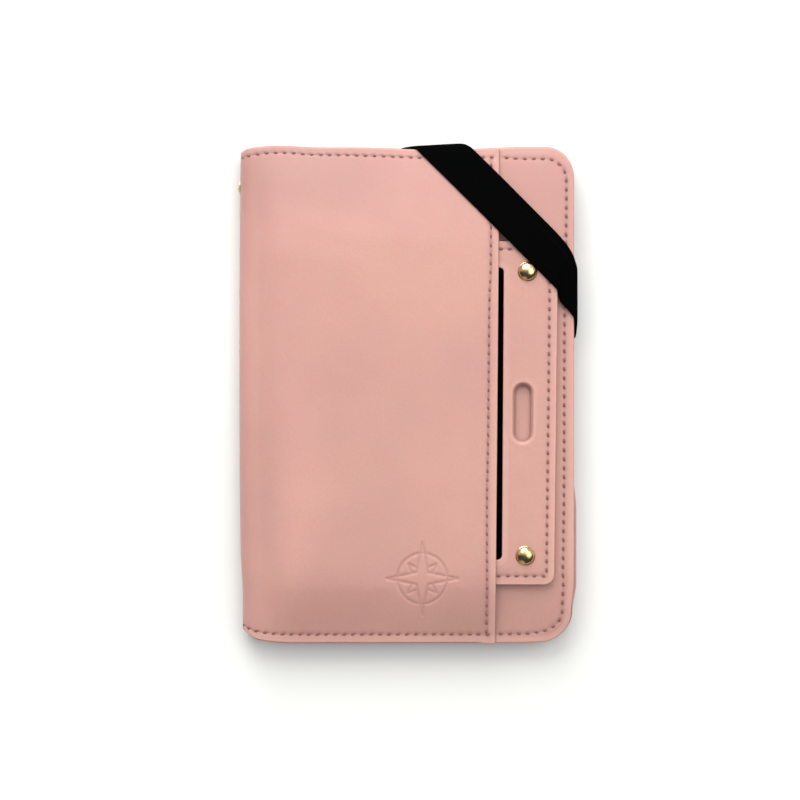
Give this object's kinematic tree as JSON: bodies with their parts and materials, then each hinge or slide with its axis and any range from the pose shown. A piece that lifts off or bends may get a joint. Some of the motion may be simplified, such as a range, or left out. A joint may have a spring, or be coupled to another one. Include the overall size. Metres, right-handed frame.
{
  "type": "passport holder",
  "caption": "Bi-fold leather passport holder with a front slip pocket, a riveted pull-out ID sleeve with window and pull slot, and an elastic corner band.",
  "frame": {"origin": "centre of the back cover's outer face, which the closed holder rests on", "axes": "+Z out of the front cover, +Y towards the head of the holder, spine at -X, the cover opens at +X"},
  "size_m": [0.1006, 0.146, 0.0137],
  "materials": {
    "outer_leather": "smooth satin grained faux leather, dusty rose",
    "inner_leather": "smooth matt faux leather, dusty rose",
    "lining": "fine woven lining, rose",
    "board": "grey-brown stiffener board",
    "thread": "twisted polyester thread, dark rose",
    "elastic": "black woven elastic webbing",
    "black_liner": "black liner sheet",
    "clear_film": "clear flexible film",
    "rivet_metal": "polished pale gold plating"
  },
  "bodies": {
    "back_cover": {"back_cover_skin": "outer_leather", "back_cover_board": "board", "back_lining": "lining", "passport_pocket": "inner_leather", "back_seam_thread": "thread", "band_anchor_tabs": "elastic"},
    "spine": {"spine_skin": "outer_leather", "spine_strip": "board", "spine_lining": "lining", "spine_stud": "rivet_metal", "spine_stud_washer": "rivet_metal"},
    "front_cover": {"front_cover_skin": "outer_leather", "front_cover_board": "board", "front_lining": "lining", "card_panel_upper": "inner_leather", "card_panel_lower": "inner_leather", "slip_pocket_panel": "outer_leather", "pocket_edge_thread": "thread", "front_seam_thread": "thread"},
    "id_sleeve": {"sleeve_back": "outer_leather", "sleeve_liner": "black_liner", "sleeve_spacer": "board", "sleeve_window_film": "clear_film", "sleeve_front": "outer_leather", "sleeve_seam_thread": "thread", "rivet_caps": "rivet_metal", "rivet_backs": "rivet_metal"},
    "corner_band": {"elastic_band": "elastic"}
  },
  "joints": [
    {"name": "spine_fold", "type": "hinge", "parent": "back_cover", "child": "spine", "pos_m": [-0.0478, 0, 0.0012], "axis": [0, -1, 0], "range_deg": [0, 90], "deforming": ["elastic_band"]},
    {"name": "cover_fold", "type": "hinge", "parent": "spine", "child": "front_cover", "pos_m": [-0.0478, 0, 0.008], "axis": [0, -1, 0], "range_deg": [0, 90]},
    {"name": "sleeve_slide", "type": "slide", "parent": "front_cover", "child": "id_sleeve", "axis": [1, 0, 0], "range_m": [-0.005, 0.084], "deforming": ["elastic_band"]},
    {"name": "band_release", "type": "slide", "parent": "back_cover", "child": "corner_band", "axis": [0.7071, 0.7071, 0], "range_m": [0, 0.034], "deforming": ["elastic_band"]}
  ],
  "couplings": [
    {"joint": "cover_fold", "follows": "spine_fold", "ratio": 0.97}
  ]
}
